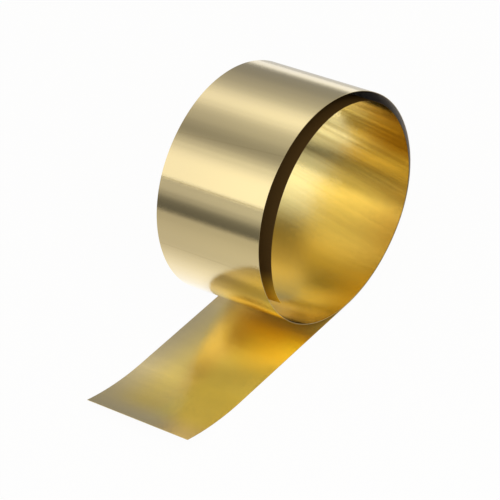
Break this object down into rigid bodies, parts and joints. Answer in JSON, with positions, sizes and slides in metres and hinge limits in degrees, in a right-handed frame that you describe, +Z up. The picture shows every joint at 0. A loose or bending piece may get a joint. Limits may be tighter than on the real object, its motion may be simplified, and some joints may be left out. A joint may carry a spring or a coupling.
{
  "type": "roll of brass sheet",
  "caption": "Strip of thin bright brass sheet, wound loosely and a little askew into an open roll, with a long free tail that lies flat under the roll.",
  "frame": {"origin": "middle of the part's box, on the floor that the tail lies on", "axes": "+X from the tail's tip towards the roll, +Y along the roll's axis, +Z up"},
  "size_m": [0.2454, 0.08, 0.1493],
  "materials": {
    "brass": "bright rolled sheet, faint grain along the strip"
  },
  "bodies": {
    "root": {"brass_strip": "brass"}
  },
  "joints": []
}
